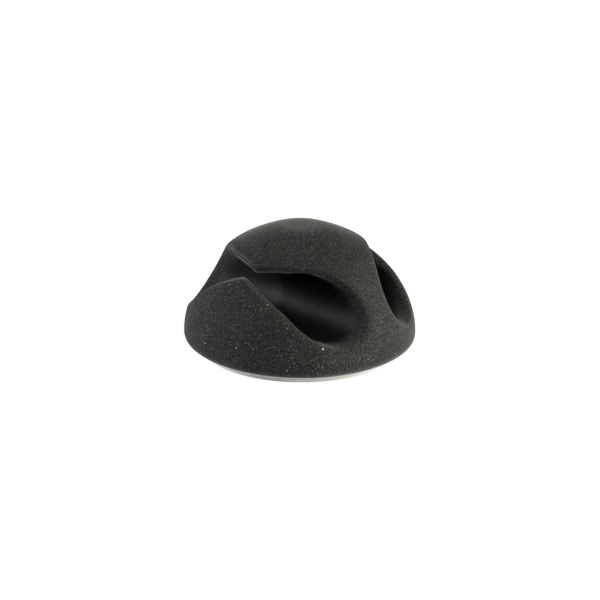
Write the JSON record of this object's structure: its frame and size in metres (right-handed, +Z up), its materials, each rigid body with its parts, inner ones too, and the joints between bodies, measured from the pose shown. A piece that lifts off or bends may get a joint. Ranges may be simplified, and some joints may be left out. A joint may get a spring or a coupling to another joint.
{
  "type": "adhesive cable clip",
  "caption": "Round rubber dome with parallel cable channels, each open along its length through a bow-tie slit, on a round adhesive foam pad.",
  "frame": {"origin": "centre of the adhesive pad's underside", "axes": "+Z up through the top of the dome, +X along both cable channels"},
  "size_m": [0.03, 0.03, 0.0164],
  "materials": {
    "rubber": "matte moulded rubber, fine speckle",
    "foam": "double-sided adhesive foam"
  },
  "bodies": {
    "root": {"rubber_body": "rubber", "adhesive_pad": "foam"}
  },
  "joints": []
}
